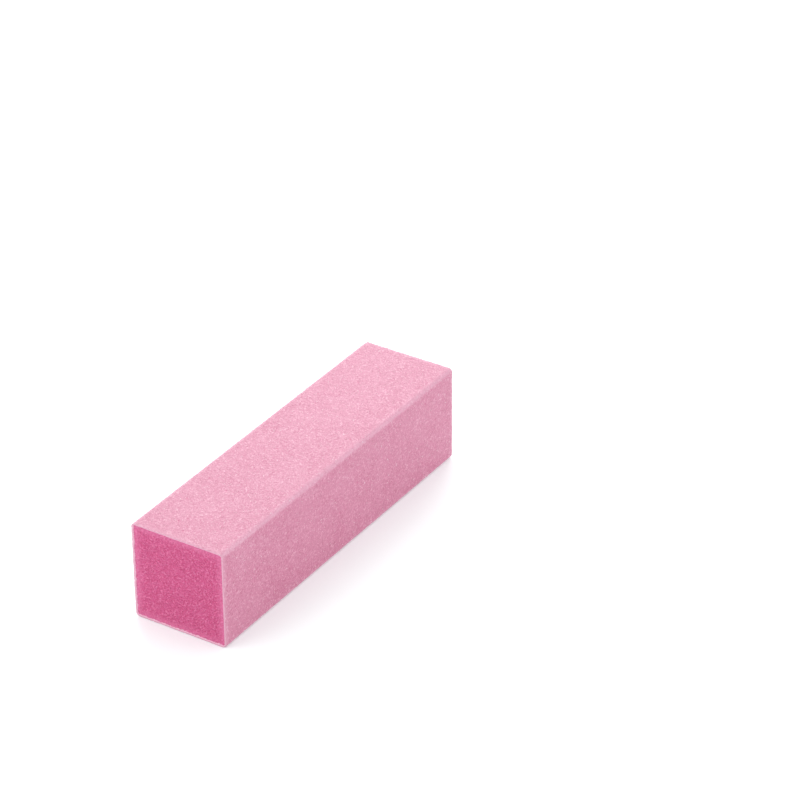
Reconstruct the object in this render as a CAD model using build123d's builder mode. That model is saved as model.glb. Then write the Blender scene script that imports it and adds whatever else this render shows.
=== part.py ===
"""Four-way nail buffer block: a foam bar, bare at its cut ends, with an abrasive coat on each long face.

The bar lies along X and rests on its bottom coat. The origin is the centre of that face, and +Z is up.
Each long face carries its own coat of two layers: a bond coat of resin on the foam, then the grit coat
of abrasive grains locked in resin. Neighbouring coats meet in a mitre at the long corners of the bar.
The coated bar is then chopped to length, so both ends show the foam with the layers' edges round it.
"""

import os

from build123d import *

# Driving dimensions, in millimetres.
length = 95.0  # cut end to cut end
section = 25.0  # side of the square section, over the coats
bond_thickness = 0.15  # resin film next to the foam
grit_thickness = 0.35  # abrasive grains and the resin that locks them in
edge_radius = 1.1  # long corners, over the coats

# Half sizes of the nested squares that bound the layers.
block_half = section / 2
bond_half = block_half - grit_thickness
core_half = bond_half - bond_thickness

# Each layer keeps its thickness round the long corners, so their radii shrink with it.
bond_radius = edge_radius - grit_thickness
core_radius = bond_radius - bond_thickness

# Sections are drawn on the low-X cut end, centred on the bar's axis, and run the whole length of the bar.
end_centre = (-length / 2, 0, block_half)
along_bar = (1, 0, 0)

# Each coat's section is drawn with its long face upwards. This is the way that its width then runs.
face_widths = {"top": (0, 1, 0), "right": (0, 0, 1), "bottom": (0, -1, 0), "left": (0, 0, -1)}

# The layers of a coat, from the foam outwards: outer half size and radius, inner half size and radius.
layers = {
    "bond_coat": (bond_half, bond_radius, core_half, core_radius),
    "grit_coat": (block_half, edge_radius, bond_half, bond_radius),
}


def save(piece, name):
    """Label a finished piece and write it as its own node."""
    piece.part.label = name
    export_step(piece.part, f"parts/{name}.step")


os.makedirs("parts", exist_ok=True)

# Foam core: the bar itself, bare at both cut ends.
with BuildPart() as foam_core:
    with BuildSketch(Plane(end_centre, x_dir=face_widths["top"], z_dir=along_bar)):
        RectangleRounded(2 * core_half, 2 * core_half, core_radius)
    extrude(amount=length)
save(foam_core, "foam_core")

# Coats: each is one face's quarter of the layer, from mitre to mitre.
for face, width_direction in face_widths.items():
    for layer, (outer_half, outer_radius, inner_half, inner_radius) in layers.items():
        with BuildPart() as coat:
            with BuildSketch(Plane(end_centre, x_dir=width_direction, z_dir=along_bar)):
                with BuildLine():
                    Polyline((0, 0), (outer_half, outer_half), (-outer_half, outer_half), close=True)
                make_face()
                RectangleRounded(2 * outer_half, 2 * outer_half, outer_radius, mode=Mode.INTERSECT)
                RectangleRounded(2 * inner_half, 2 * inner_half, inner_radius, mode=Mode.SUBTRACT)
            extrude(amount=length)
        save(coat, f"{layer}_{face}")
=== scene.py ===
"""Looks for the nail buffer block: cut foam, sprayed abrasive coats, proud grains, floor, light and camera.

Everything is in metres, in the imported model's frame: X along the bar, Z up, origin under its middle.
"""

import math

import bpy
import numpy as np
from mathutils import Matrix, Vector


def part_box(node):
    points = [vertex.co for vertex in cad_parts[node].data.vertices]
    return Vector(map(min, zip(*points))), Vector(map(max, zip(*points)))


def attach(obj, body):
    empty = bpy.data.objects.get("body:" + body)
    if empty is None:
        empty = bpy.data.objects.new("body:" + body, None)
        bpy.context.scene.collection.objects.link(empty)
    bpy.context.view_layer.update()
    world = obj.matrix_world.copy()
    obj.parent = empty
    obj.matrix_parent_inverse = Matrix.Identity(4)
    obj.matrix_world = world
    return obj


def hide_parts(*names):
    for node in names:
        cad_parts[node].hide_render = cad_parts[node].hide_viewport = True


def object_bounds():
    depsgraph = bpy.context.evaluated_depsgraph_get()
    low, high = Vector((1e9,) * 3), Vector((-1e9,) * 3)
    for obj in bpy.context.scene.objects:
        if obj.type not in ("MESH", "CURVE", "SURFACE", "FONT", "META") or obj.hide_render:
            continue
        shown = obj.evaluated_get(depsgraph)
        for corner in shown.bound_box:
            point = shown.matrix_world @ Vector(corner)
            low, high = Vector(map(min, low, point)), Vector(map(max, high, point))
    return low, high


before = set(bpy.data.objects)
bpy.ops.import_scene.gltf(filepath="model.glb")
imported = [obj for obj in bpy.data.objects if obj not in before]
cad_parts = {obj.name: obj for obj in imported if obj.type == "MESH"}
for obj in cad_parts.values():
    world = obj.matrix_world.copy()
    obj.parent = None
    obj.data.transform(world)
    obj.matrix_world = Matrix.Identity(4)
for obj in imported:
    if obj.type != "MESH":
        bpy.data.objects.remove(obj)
cad_low, cad_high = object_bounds()

MM = 0.001

# Sizes read from the frame.
HALF_LENGTH = (cad_high.x - cad_low.x) / 2
BLOCK_HALF = (cad_high.y - cad_low.y) / 2
AXIS_HEIGHT = (cad_high.z + cad_low.z) / 2
BOND_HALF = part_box("bond_coat_top")[1].z - AXIS_HEIGHT
CORE_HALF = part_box("foam_core")[1].z - AXIS_HEIGHT
EDGE_RADIUS = 1.1 * MM
CORE_RADIUS = EDGE_RADIUS - (BLOCK_HALF - CORE_HALF)

# Mesh pitch, fine enough to carry the grain and the foam's cells as real relief.
COAT_PITCH = 0.19 * MM
EDGE_TURNS = 5
FILM_PITCH = 0.15 * MM
FOAM_PITCH = 0.11 * MM

# Loose crystals that stand proud on each face.
GRAINS_PER_FACE = 14000

# How far the bond soaks into the foam's open cells.
SOAK_DEPTH = 0.4 * MM

# How far in from the coats' edges a painted highlight makes them paler, and how far their cut edges are
# hollowed.
EDGE_HIGHLIGHT_WIDTH = 1.5 * MM
CUT_HOLLOW = 0.05 * MM

# How far in from its rim the foam's cut end carries a painted glow, lighter towards the rim.
FOAM_RIM_WIDTH = 2.3 * MM

# The foam's bubbles, from fine to coarse: their spacing, radius in spacings, share that are open, and seed.
FOAM_CELLS = (
    (0.28 * MM, 0.58, 0.9, 11),
    (0.38 * MM, 0.62, 1.0, 12),
    (1.20 * MM, 0.28, 0.2, 13),
)

# Each long face: the way its width runs and the way it looks out, both as (Y, Z).
FACES = {
    "top": ((1, 0), (0, 1)),
    "right": ((0, 1), (-1, 0)),
    "bottom": ((-1, 0), (0, -1)),
    "left": ((0, -1), (1, 0)),
}


# ------------------------------------------------------------ noise on arrays of points


def lattice_random(cells, seed, count):
    """Repeatable random numbers, 0 to 1, for whole-number cells: count of them for each cell."""
    c = cells.astype(np.int64)
    mixed = c[:, 0] * 73856093 ^ c[:, 1] * 19349663 ^ c[:, 2] * 83492791 ^ seed * 2654435761
    columns = []
    for k in range(count):
        h = (mixed + k * 40503) & 0xFFFFFFFF
        for _ in range(2):
            h = ((h ^ (h >> 16)) * 0x45D9F3B) & 0xFFFFFFFF
        columns.append((h ^ (h >> 16)) % 65536 / 65536)
    return np.stack(columns, axis=1)


def smoothstep(value, low, high):
    t = np.clip((value - low) / (high - low), 0, 1)
    return t * t * (3 - 2 * t)


def smooth_noise(points, pitch, seed):
    """Random height, -1 to 1, that changes smoothly over about one pitch."""
    p = points / pitch
    base = np.floor(p)
    near = smoothstep(p - base, 0, 1)
    total = np.zeros(len(points))
    for corner in np.ndindex(2, 2, 2):
        weight = np.prod(np.where(corner, near, 1 - near), axis=1)
        total += weight * lattice_random(base + corner, seed, 1)[:, 0]
    return total * 2 - 1


def cell_noise(points, pitch, seed):
    """Random cells about one pitch wide. Gives the distance to the nearest cell's centre, how much further
    off the next one is, both in pitches, and the nearest cell's own random number, 0 to 1."""
    p = points / pitch
    base = np.floor(p)
    first, second = np.full((2, len(points)), 9.0)
    tone = np.zeros(len(points))
    for corner in np.ndindex(3, 3, 3):
        cell = base + corner - 1
        r = lattice_random(cell, seed, 4)
        distance = np.linalg.norm(cell + r[:, :3] - p, axis=1)
        nearer = distance < first
        second = np.where(nearer, first, np.minimum(second, distance))
        tone = np.where(nearer, r[:, 3], tone)
        first = np.where(nearer, distance, first)
    return first, second - first, tone


# ------------------------------------------------------------ meshes


def make_piece(name, points, faces, smooth):
    """A mesh object from arrays of points and faces. smooth is one choice, or one for each face."""
    mesh = bpy.data.meshes.new(name)
    mesh.from_pydata(points.tolist(), [], faces)
    mesh.polygons.foreach_set("use_smooth", np.broadcast_to(smooth, len(mesh.polygons)).tolist())
    mesh.update()
    piece = bpy.data.objects.new(name, mesh)
    bpy.context.scene.collection.objects.link(piece)
    return piece


def corner_vertices(piece):
    found = np.empty(len(piece.data.loops), np.int32)
    piece.data.loops.foreach_get("vertex_index", found)
    return found


def store(piece, name, values):
    """Keeps one number for each vertex, for the material to read."""
    layer = piece.data.attributes.new(name, "FLOAT", "POINT")
    layer.data.foreach_set("value", np.asarray(values, np.float32).ravel())


def store_map(piece, u, v):
    """Lays the piece out flat, by vertex, in its map named OFBake."""
    layer = piece.data.uv_layers.new(name="OFBake")
    flat = np.stack([np.ravel(u), np.ravel(v)], axis=1)[corner_vertices(piece)]
    layer.data.foreach_set("uv", flat.astype(np.float32).ravel())


def grid_faces(columns, rows, wrap):
    """Quads over points kept column by column. With wrap, each column's last row joins its first."""
    i = np.arange(rows if wrap else rows - 1)
    up = (i + 1) % rows
    j = np.arange(columns - 1)[:, None] * rows
    return np.stack([j + i, j + up, j + rows + up, j + rows + i], axis=-1).reshape(-1, 4)


def build_shell(name, rings, smooth_rows):
    """A closed piece from points kept as [column, row, XYZ], where each column goes right round the piece
    and the first and last columns are capped. Only the first smooth_rows rows are shaded smooth."""
    columns, rows = rings.shape[:2]
    faces = grid_faces(columns, rows, wrap=True).tolist()
    faces.append(list(range(rows - 1, -1, -1)))
    faces.append(list(range((columns - 1) * rows, columns * rows)))
    smooth = np.zeros(len(faces), bool)
    smooth[:-2] = np.tile(np.arange(rows) < smooth_rows - 1, columns - 1)
    shell = make_piece(name, rings.reshape(-1, 3), faces, smooth)
    u = np.broadcast_to((np.arange(rows) + 0.5) / rows, (columns, rows))
    v = np.broadcast_to((np.arange(columns)[:, None] + 0.5) / columns, (columns, rows))
    store_map(shell, u, v)
    return shell


def finish_piece(piece, slot, *nodes):
    """Fixes a finished piece to the frame and hides the nodes that it stands for. Its slot is not used."""
    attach(piece, "root")
    if nodes:
        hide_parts(*nodes)


def place(face, x, section):
    """Points in space from x along the bar and [.., across the face, out from the bar's middle]."""
    width_way, out_way = (np.array(way, float) for way in FACES[face])
    across = section[..., :1] * width_way + section[..., 1:] * out_way + (0, AXIS_HEIGHT)
    shape = np.broadcast_shapes(np.shape(x), across.shape[:-1])
    x = np.broadcast_to(x, shape)[..., None]
    return np.concatenate([x, np.broadcast_to(across, (*shape, 2))], axis=-1)


# ------------------------------------------------------------ abrasive coats


def face_profile(pitch):
    """The block's outline across a face that looks up: points and outward directions. It runs from mitre to
    mitre and one step past each, so that the surface's slope is known at the mitres too."""
    reach = BLOCK_HALF - EDGE_RADIUS
    steps = round(2 * reach / pitch)
    arc = np.arange(EDGE_TURNS + 1, 0, -1) * math.pi / 4 / EDGE_TURNS
    lean = np.concatenate([-arc, np.zeros(steps + 1), arc[::-1]])
    past = np.full(EDGE_TURNS + 1, reach)
    centre = np.concatenate([-past, np.linspace(-reach, reach, steps + 1), past])
    out = np.stack([np.sin(lean), np.cos(lean)], axis=1)
    points = np.stack([centre, np.full(len(centre), reach)], axis=1) + EDGE_RADIUS * out
    return points, out


def coat_relief(points):
    """Height of the sprayed surface against its nominal face, and the grain and pinholes that its material
    shows. It sways with the foam, sinks over the foam's cells, and is rough with stuck-down grit."""
    sway = 0.028 * smooth_noise(points, 15 * MM, 1) + 0.014 * smooth_noise(points, 4.5 * MM, 2)
    lumps = 0.012 * smooth_noise(points, 1.2 * MM, 3)
    cell, _, cell_tone = cell_noise(points, 0.8 * MM, 4)
    dimples = -0.040 * cell_tone * smoothstep(cell, 0.55, 0.05)
    grain, _, grain_tone = cell_noise(points, 0.3 * MM, 5)
    grains = 0.06 * (grain_tone - 0.5) * smoothstep(grain, 0.95, 0.1)
    hole, _, hole_tone = cell_noise(points, 2.9 * MM, 6)
    pinhole = smoothstep(hole, 0.05 + 0.07 * hole_tone, 0.03) * (hole_tone > 0.62)
    # The coat's surface sits a little lower near the cut ends, where it is worn; this is shape only.
    wear_and_edge_highlight = 0.05 * smoothstep(HALF_LENGTH - np.abs(points[:, 0]), 0.45 * MM, 0)
    wear_and_edge_highlight *= 1 + smooth_noise(points, 0.5 * MM, 7)
    relief = sway + lumps + dimples + grains - wear_and_edge_highlight - 0.12 * pinhole - 0.07
    return np.minimum(relief, 0) * MM, grain_tone, pinhole


def cut_strip(outer, inner, end):
    """Rows across a coat's cut edge, a little hollow, from its outer line to just before its inner line."""
    rows = []
    for t in (0.25, 0.5, 0.75):
        row = outer + (inner - outer) * t
        row[:, 0] -= end * CUT_HOLLOW * (0.5 + 0.5 * smooth_noise(row, 0.22 * MM, 8))
        rows.append(row)
    return rows


def shade_skin(coat, columns, rows, slope):
    """Shades a coat's skin by its true slope, so that the mitres show no seam, and its other sides flat."""
    normals = np.zeros((columns, rows, 3))
    normals[:, : slope.shape[1]] = slope
    normals = normals.reshape(-1, 3)[corner_vertices(coat)]
    sides = coat.data.polygons
    flat = np.repeat([not side.use_smooth for side in sides], [side.loop_total for side in sides])
    normals[flat] = 0
    coat.data.normals_split_custom_set(normals.tolist())


def build_coat(face):
    """One grit coat as a closed shell. Gives it with its skin's points and slopes, for the loose grains."""
    profile, lean = face_profile(COAT_PITCH)
    x = np.linspace(-HALF_LENGTH, HALF_LENGTH, round(2 * HALF_LENGTH / COAT_PITCH) + 1)
    nominal = place(face, x, profile[:, None, :])
    relief, grain, pinhole = (a.reshape(len(profile), -1) for a in coat_relief(nominal.reshape(-1, 3)))
    skin = place(face, x, profile[:, None, :] + relief[..., None] * lean[:, None, :])
    slope = np.cross(np.gradient(skin, axis=1), np.gradient(skin, axis=0))
    slope /= np.linalg.norm(slope, axis=2, keepdims=True)
    surface = (profile, lean, skin, slope, grain, pinhole)
    profile, lean, skin, slope, grain, pinhole = (a[1:-1] for a in surface)

    # The cut edges and the hidden inner face close the shell.
    inner = profile - lean * (BLOCK_HALF - BOND_HALF)
    front, rear = (place(face, end * HALF_LENGTH, inner) for end in (1, -1))
    rings = [skin]
    rings.append(np.stack([*cut_strip(skin[:, -1], front, 1), front, rear], axis=1))
    rings.append(np.stack(cut_strip(skin[:, 0], rear, -1)[::-1], axis=1))
    coat = build_shell(f"grit_skin_{face}", np.concatenate(rings, axis=1), len(x))

    columns, rows = len(profile), sum(ring.shape[1] for ring in rings)
    shade_skin(coat, columns, rows, slope)

    def store_skin(name, values, elsewhere):
        spread = np.full((columns, rows), elsewhere, float)
        spread[:, : len(x)] = values
        store(coat, name, spread)

    store_skin("grain", grain, 0.5)
    store_skin("pinhole", pinhole, 0)
    # The edge mask is for a painted highlight. It is full along the long edges and on the cut edges, and
    # weaker near the cut ends.
    from_side = smoothstep(BLOCK_HALF - np.abs(profile[:, :1]), EDGE_HIGHLIGHT_WIDTH, 0)
    from_end = 0.4 * smoothstep(HALF_LENGTH - np.abs(x), EDGE_HIGHLIGHT_WIDTH, 0)
    store_skin("edge", np.maximum(from_side, from_end), 1)
    finish_piece(coat, "grit", f"grit_coat_{face}")
    return coat, skin, slope


def random_turns(count, rng):
    """Uniformly random rotation matrices."""
    q = rng.normal(size=(count, 4))
    w, x, y, z = (q / np.linalg.norm(q, axis=1, keepdims=True)).T
    first = [1 - 2 * (y * y + z * z), 2 * (x * y - z * w), 2 * (x * z + y * w)]
    second = [2 * (x * y + z * w), 1 - 2 * (x * x + z * z), 2 * (y * z - x * w)]
    third = [2 * (x * z - y * w), 2 * (y * z + x * w), 1 - 2 * (x * x + y * y)]
    return np.stack([np.stack(row, axis=1) for row in (first, second, third)], axis=1)


def build_grains(face, skin, slope, rng, count):
    """Abrasive crystals that stand proud of a coat: small eight-sided stones, each turned its own way."""
    columns, rows = skin.shape[:2]
    column = rng.integers(0, columns, count)
    row = rng.integers(1, rows, count)
    radius = np.clip(rng.lognormal(math.log(0.055), 0.42, count), 0.03, 0.18) * MM
    shift = rng.random((count, 1)) * (skin[column, row - 1] - skin[column, row])
    lift = (radius * rng.uniform(-0.5, 0.3, count))[:, None]
    centre = skin[column, row] + shift + slope[column, row] * lift
    stone = np.array([(1, 0, 0), (-1, 0, 0), (0, 1, 0), (0, -1, 0), (0, 0, 1), (0, 0, -1)], float)
    shape = stone * rng.uniform(0.65, 1.25, (count, 6, 1)) + rng.normal(0, 0.12, (count, 6, 3))
    shape = np.einsum("nij,nkj->nki", random_turns(count, rng), shape)
    points = centre[:, None, :] + shape * radius[:, None, None]

    # The tallest stones are pressed flush with the face, so that the block's own size is kept.
    limit = np.array([HALF_LENGTH, BLOCK_HALF, BLOCK_HALF])
    middle = np.array([0, 0, AXIS_HEIGHT])
    points = np.clip(points, middle - limit, middle + limit)

    sides = [(a, b, c) if (a + b + c) % 2 else (b, a, c) for a in (0, 1) for b in (2, 3) for c in (4, 5)]
    faces = (np.arange(count)[:, None, None] * 6 + np.array(sides)).reshape(-1, 3)
    grains = make_piece(f"grit_grains_{face}", points.reshape(-1, 3), faces.tolist(), smooth=False)
    store(grains, "stone", np.repeat(rng.random(count), 6))

    # Each stone has its own small square of the map.
    side = math.ceil(math.sqrt(count))
    n = np.arange(count)
    spot = np.array([(0.2, 0.2), (0.8, 0.8), (0.8, 0.2), (0.2, 0.8), (0.5, 0.8), (0.5, 0.1)])
    store_map(grains, ((n % side)[:, None] + spot[:, 0]) / side, ((n // side)[:, None] + spot[:, 1]) / side)
    finish_piece(grains, "grit")
    return grains


# ------------------------------------------------------------ bond films


def build_film(face):
    """The resin film under one coat. At the cut ends it thins out into the foam's open cells."""
    profile, lean = (a[1:-1] for a in face_profile(FILM_PITCH))
    outer = profile - lean * (BLOCK_HALF - BOND_HALF)
    inner = profile - lean * (BLOCK_HALF - CORE_HALF)
    rows = []
    for end in (1, -1):
        lip = place(face, end * HALF_LENGTH, outer)
        soak = 0.5 + 0.5 * smooth_noise(lip, 0.35 * MM, 21) + 0.4 * smooth_noise(lip, 0.9 * MM, 22)
        soak = np.clip(soak, 0, 1)[:, None] * lean
        edge = []
        for t, sink in ((0, 0.0), (0.4, 0.015), (0.8, 0.035), (1.2, 0.09), (1.5, 0.2)):
            section = outer + (inner - outer) * min(t, 1) - soak * max(t - 1, 0) * SOAK_DEPTH
            row = place(face, end * (HALF_LENGTH - sink * MM), section)
            row[:, 0] -= end * 0.03 * MM * t * (0.5 + 0.5 * smooth_noise(row, 0.25 * MM, 23))
            edge.append(row)
        rows += edge if end == 1 else edge[::-1]
    film = build_shell(f"bond_film_{face}", np.stack(rows, axis=1), 5)
    finish_piece(film, "bond_resin", f"bond_coat_{face}")
    return film


# ------------------------------------------------------------ foam


def foam_relief(points):
    """Depth of the cells that the knife opened, and how far into a cell each point lies, 0 on the walls."""
    depth = np.zeros(len(points))
    for pitch, bubble, share, seed in FOAM_CELLS:
        nearest, _, tone = cell_noise(points, pitch, seed)
        radius = bubble * (0.75 + 0.5 * tone)
        hollow = np.sqrt(np.clip(1 - (nearest / radius) ** 2, 0, 1)) * (tone < share) * radius * pitch
        depth = np.maximum(depth, hollow)
    waves = 0.05 * smooth_noise(points, 6 * MM, 14) + 0.02 * smooth_noise(points, 1.5 * MM, 15)
    return 0.9 * depth + (0.07 - waves) * MM, np.clip(depth / (0.3 * MM), 0, 1)


def round_corners(y, z, half, radius):
    """Draws the four corners of a square grid of points in to a round."""
    reach = half - radius
    u, v = (np.clip((np.abs(a) - reach) / radius, 0, 1) for a in (y, z))
    corner = (u > 0) & (v > 0)
    rounded_y = np.where(corner, np.sign(y) * (reach + radius * u * np.sqrt(1 - v * v / 2)), y)
    rounded_z = np.where(corner, np.sign(z) * (reach + radius * v * np.sqrt(1 - u * u / 2)), z)
    return rounded_y, rounded_z


def build_foam():
    """The foam bar: open cells in relief on both cut ends, plain sides under the coats."""
    steps = round(2 * CORE_HALF / FOAM_PITCH)
    n = steps + 1
    line = np.linspace(-CORE_HALF, CORE_HALF, n)
    y, z = (a.ravel() for a in np.meshgrid(line, line, indexing="ij"))
    y, z = round_corners(y, z, CORE_HALF, CORE_RADIUS)
    count = n * n
    points, cells, u, faces = [], [], [], []
    for number, end in enumerate((-1, 1)):
        cut = np.stack([np.full(count, end * HALF_LENGTH), y, z + AXIS_HEIGHT], axis=1)
        depth, opened = foam_relief(cut)
        cut[:, 0] -= end * depth
        points.append(cut)
        cells.append(opened)
        u.append(((y / CORE_HALF + 1) * 0.245 + 0.005) + number / 2)
        quads = grid_faces(n, n, wrap=False) + number * count
        faces += (quads if end == 1 else quads[:, ::-1]).tolist()
    i = np.arange(steps)
    rim = np.concatenate([i * n, steps * n + i, (steps - i) * n + steps, steps - i])
    faces += np.stack([rim, np.roll(rim, -1), np.roll(rim, -1) + count, rim + count], axis=1).tolist()
    smooth = np.arange(len(faces)) < 2 * steps * steps
    foam = make_piece("foam_body", np.concatenate(points), faces, smooth)
    store(foam, "opened", np.concatenate(cells))
    inward = CORE_HALF - np.maximum(np.abs(y), np.abs(z))
    # Mask for the painted glow, strongest at the rim of each cut end.
    store(foam, "rim", np.tile(smoothstep(inward, FOAM_RIM_WIDTH, 0), 2))
    store_map(foam, np.concatenate(u), np.tile(z / CORE_HALF * 0.49 + 0.5, 2))
    finish_piece(foam, "foam", "foam_core")
    return foam


# ------------------------------------------------------------ materials


class Shader:
    """A short way to write a material's nodes."""

    def __init__(self, name):
        self.material = bpy.data.materials.new(name)
        self.material.use_nodes = True
        self.nodes = self.material.node_tree.nodes
        self.links = self.material.node_tree.links
        self.surface = self.nodes["Principled BSDF"]
        self.place = self.nodes.new("ShaderNodeTexCoord").outputs["Object"]

    def set(self, **values):
        """Plain values on the surface's own sockets, such as Coat_Weight=0.1."""
        for socket, value in values.items():
            self.surface.inputs[socket.replace("_", " ")].default_value = value

    def drive(self, socket, source):
        self.links.new(source, self.surface.inputs[socket])

    def attribute(self, name):
        node = self.nodes.new("ShaderNodeAttribute")
        node.attribute_name = name
        return node.outputs["Fac"]

    def noise(self, pitch, detail=2.0, rough=0.5):
        """Smooth noise, 0 to 1, with features about one pitch across."""
        node = self.nodes.new("ShaderNodeTexNoise")
        self.links.new(self.place, node.inputs["Vector"])
        node.inputs["Scale"].default_value = 1 / pitch
        node.inputs["Detail"].default_value = detail
        node.inputs["Roughness"].default_value = rough
        return node.outputs["Fac"]

    def cells(self, pitch, output="Color"):
        """Voronoi cells: a random colour for each, or the distance to its centre."""
        node = self.nodes.new("ShaderNodeTexVoronoi")
        self.links.new(self.place, node.inputs["Vector"])
        node.inputs["Scale"].default_value = 1 / pitch
        return node.outputs[output]

    def stretch(self, source, low, high, to_low=0.0, to_high=1.0):
        """Maps low..high to to_low..to_high and holds it there."""
        node = self.nodes.new("ShaderNodeMapRange")
        self.links.new(source, node.inputs["Value"])
        limits = {"From Min": low, "From Max": high, "To Min": to_low, "To Max": to_high}
        for socket, value in limits.items():
            node.inputs[socket].default_value = value
        return node.outputs["Result"]

    def product(self, first, second):
        node = self.nodes.new("ShaderNodeMath")
        node.operation = "MULTIPLY"
        self.links.new(first, node.inputs[0])
        self.links.new(second, node.inputs[1])
        return node.outputs["Value"]

    def blend(self, share, first, second):
        """first and second mixed by share. Each is a socket, or a colour."""
        node = self.nodes.new("ShaderNodeMix")
        node.data_type = "RGBA"
        self.links.new(share, node.inputs["Factor"])
        for socket, value in ((node.inputs[6], first), (node.inputs[7], second)):
            if isinstance(value, bpy.types.NodeSocket):
                self.links.new(value, socket)
            else:
                socket.default_value = (*value, 1)
        return node.outputs[2]

    def bump(self, height, distance, strength=1.0, after=None):
        node = self.nodes.new("ShaderNodeBump")
        node.inputs["Distance"].default_value = distance
        node.inputs["Strength"].default_value = strength
        self.links.new(height, node.inputs["Height"])
        if after is not None:
            self.links.new(after, node.inputs["Normal"])
        return node.outputs["Normal"]


FOAM_PINK = (0.565, 0.081, 0.222)
FOAM_WALL = (0.685, 0.165, 0.330)
# The next colour is painted shade, for the bottoms of the foam's opened cells.
FOAM_CELL_SHADE = (0.465, 0.047, 0.156)
# The next colour is a painted glow near the rim of the foam's cut ends.
FOAM_RIM_GLOW = (0.71, 0.185, 0.360)
COAT_PINK = (0.495, 0.105, 0.224)
COAT_SHADE = (0.395, 0.055, 0.145)
COAT_PALE = (0.71, 0.345, 0.47)
# The next colour is the painted highlight on the coats' edges. The bond resin also uses it as one of its
# own tones.
EDGE_PALE = (0.80, 0.48, 0.61)
STONE_WHITE = (0.90, 0.80, 0.85)


def foam_material():
    s = Shader("cut_foam")
    opened = s.attribute("opened")
    # Painted shade: lighter on the cells' walls, darker towards the bottoms of the opened cells.
    colour = s.blend(s.stretch(opened, 0.02, 0.35), FOAM_WALL, FOAM_PINK)
    colour = s.blend(s.stretch(opened, 0.3, 0.9), colour, FOAM_CELL_SHADE)
    colour = s.blend(s.stretch(s.noise(2.6 * MM, 3), 0.35, 0.7, 0, 0.2), colour, FOAM_PINK)
    colour = s.blend(s.stretch(s.noise(0.2 * MM, 2), 0.3, 0.7, 0, 0.35), colour, FOAM_WALL)
    # Painted glow: the cut end is lighter towards its rim, in patches.
    painted_rim_glow = s.product(s.attribute("rim"), s.stretch(s.noise(0.6 * MM, 3), 0.3, 0.6, 0.3, 0.8))
    colour = s.blend(painted_rim_glow, colour, FOAM_RIM_GLOW)
    s.drive("Base Color", colour)
    s.drive("Roughness", s.stretch(s.noise(0.5 * MM), 0.3, 0.7, 0.78, 0.95))
    s.drive("Normal", s.bump(s.noise(0.12 * MM, 3), 0.03 * MM, 0.6))
    s.set(Subsurface_Weight=0.08, Subsurface_Radius=(1.0, 0.25, 0.4), Subsurface_Scale=0.5 * MM)
    return s.material


def coat_material():
    s = Shader("grit_coat")
    grain = s.attribute("grain")
    colour = s.blend(s.stretch(grain, 0.0, 0.4, 1.0, 0.0), COAT_PINK, COAT_SHADE)
    colour = s.blend(s.stretch(grain, 0.65, 1.0, 0.0, 0.75), colour, COAT_PALE)
    # Painted highlight: paler towards the coats' edges, in patches.
    wear_and_edge_highlight = s.stretch(s.noise(0.5 * MM, 3), 0.3, 0.6, 0.25, 0.85)
    colour = s.blend(s.product(wear_and_edge_highlight, s.attribute("edge")), colour, EDGE_PALE)
    colour = s.blend(s.stretch(s.cells(0.14 * MM), 0.3, 1.0, 0.0, 0.3), colour, COAT_PALE)
    colour = s.blend(s.stretch(s.noise(0.5 * MM, 3, 0.6), 0.4, 0.7, 0.0, 0.4), colour, COAT_SHADE)
    colour = s.blend(s.stretch(s.noise(9 * MM, 2), 0.35, 0.65, 0.0, 0.10), colour, COAT_PALE)
    colour = s.blend(s.attribute("pinhole"), colour, FOAM_PINK)
    s.drive("Base Color", colour)
    s.drive("Roughness", s.stretch(s.cells(0.2 * MM), 0.0, 1.0, 0.36, 0.72))
    rough = s.bump(s.noise(0.45 * MM, 4, 0.65), 0.09 * MM, 0.8)
    s.drive("Normal", s.bump(s.cells(0.14 * MM, "Distance"), 0.04 * MM, 0.8, rough))
    s.set(IOR=1.6, Specular_IOR_Level=1.0)
    return s.material


def grain_material():
    s = Shader("abrasive_grains")
    stone = s.attribute("stone")
    s.drive("Base Color", s.blend(s.stretch(stone, 0.6, 1.0), COAT_PALE, STONE_WHITE))
    s.drive("Roughness", s.stretch(stone, 0.3, 1.0, 0.45, 0.1))
    s.set(IOR=1.76)
    return s.material


def bond_material():
    s = Shader("bond_resin")
    s.drive("Base Color", s.blend(s.noise(0.6 * MM, 3), COAT_PALE, EDGE_PALE))
    s.drive("Roughness", s.stretch(s.noise(0.3 * MM), 0.3, 0.7, 0.35, 0.6))
    s.drive("Normal", s.bump(s.noise(0.2 * MM), 0.02 * MM, 0.5))
    return s.material


def floor_material():
    s = Shader("pale_floor")
    s.drive("Base Color", s.blend(s.noise(60 * MM, 3), (0.88, 0.960, 0.950), (0.90, 0.975, 0.965)))
    s.drive("Roughness", s.stretch(s.noise(8 * MM), 0.3, 0.7, 0.6, 0.75))
    s.set(Specular_IOR_Level=0.2, Emission_Color=(1, 1, 1, 1), Emission_Strength=0.11)
    return s.material


def dress(piece, material):
    piece.data.materials.clear()
    piece.data.materials.append(material)


# ------------------------------------------------------------ floor, light and camera


def build_floor(size=6.0):
    """A plain pale floor, dished up very gently far away so that it has no hard edge."""
    steps = 48
    line = np.linspace(-size / 2, size / 2, steps + 1)
    x, y = (a.ravel() for a in np.meshgrid(line, line, indexing="ij"))
    away = np.maximum(np.hypot(x, y) - size / 4, 0)
    points = np.stack([x, y, 0.05 * away**2], axis=1)
    floor = make_piece("studio_floor", points, grid_faces(steps + 1, steps + 1, wrap=False), smooth=True)
    dress(floor, floor_material())


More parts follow.
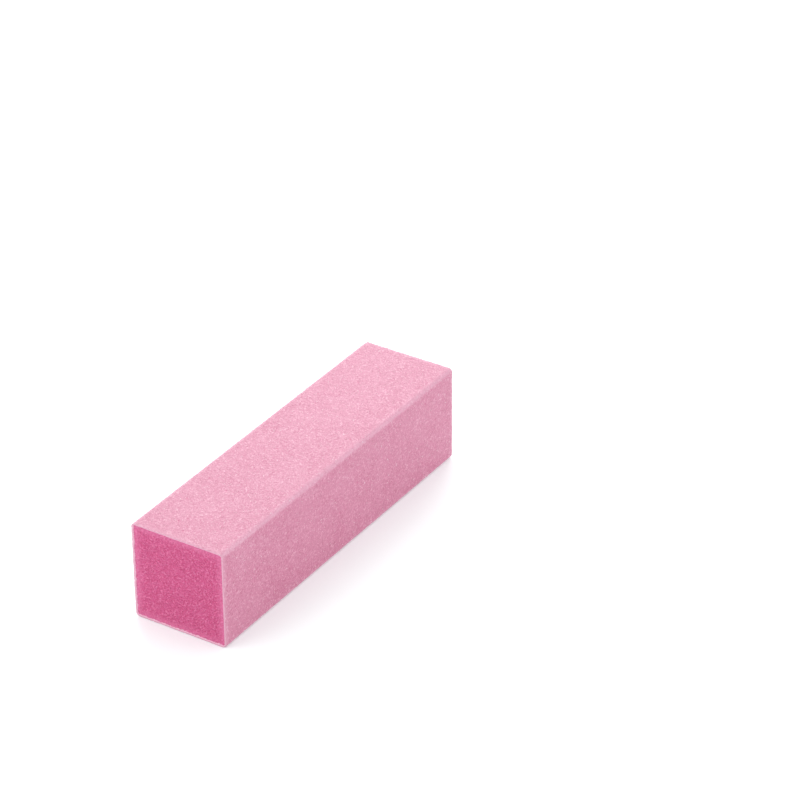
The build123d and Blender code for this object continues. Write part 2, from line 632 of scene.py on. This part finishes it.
def area_light(name, spot, size, power):
    """A square soft box aimed at the middle of the block."""
    light = bpy.data.lights.new(name, "AREA")
    light.shape = "SQUARE"
    light.size = size
    light.energy = power
    lamp = bpy.data.objects.new(name, light)
    bpy.context.scene.collection.objects.link(lamp)
    lamp.location = spot
    towards = Vector((0, 0, AXIS_HEIGHT)) - Vector(spot)
    lamp.rotation_euler = towards.to_track_quat("-Z", "Y").to_euler()


def light_studio():
    """White surroundings, a bright panel behind, and a soft light on each side of the camera."""
    world = bpy.data.worlds.new("white_studio")
    world.use_nodes = True
    world.node_tree.nodes["Background"].inputs["Color"].default_value = (1, 1, 1, 1)
    world.node_tree.nodes["Background"].inputs["Strength"].default_value = 1.0
    bpy.context.scene.world = world
    area_light("back_panel", (0.576, 0.372, 0.412), 0.6, 3.8)
    area_light("left_key", (-0.55, 0.35, 0.60), 0.5, 1.4)
    area_light("right_fill", (0.25, -0.85, 0.10), 0.5, 2.0)
    bpy.context.scene.view_settings.view_transform = "Standard"


def place_camera():
    """A long lens, low over the cut end, with the block in the lower left of the frame."""
    azimuth, elevation, roll = (math.radians(a) for a in (-57.12, 30.97, -0.44))
    distance = 808.6 * MM
    aside, below = -23.14 * MM, -20.18 * MM
    looked_at = Vector((0.735 * MM, 0, AXIS_HEIGHT))
    back = Vector(
        (
            math.sin(azimuth) * math.cos(elevation),
            -math.cos(azimuth) * math.cos(elevation),
            math.sin(elevation),
        )
    )
    level = Vector((math.cos(azimuth), math.sin(azimuth), 0))
    upright = back.cross(level)
    right = math.cos(roll) * level + math.sin(roll) * upright
    up = math.cos(roll) * upright - math.sin(roll) * level
    data = bpy.data.cameras.new("camera")
    data.lens = 156.8
    data.sensor_width = 36
    data.clip_start = 0.01
    camera = bpy.data.objects.new("camera", data)
    bpy.context.scene.collection.objects.link(camera)
    stand = looked_at + distance * back - aside * right - below * up
    camera.matrix_world = Matrix.Translation(stand) @ Matrix((right, up, back)).transposed().to_4x4()
    bpy.context.scene.camera = camera


# ------------------------------------------------------------ the block


def build_block():
    dress(build_foam(), foam_material())
    coat_look, grain_look, bond_look = coat_material(), grain_material(), bond_material()
    rng = np.random.default_rng(41)
    for face in FACES:
        coat, skin, slope = build_coat(face)
        dress(coat, coat_look)
        dress(build_grains(face, skin, slope, rng, GRAINS_PER_FACE), grain_look)
        dress(build_film(face), bond_look)


build_block()
build_floor()
light_studio()
place_camera()
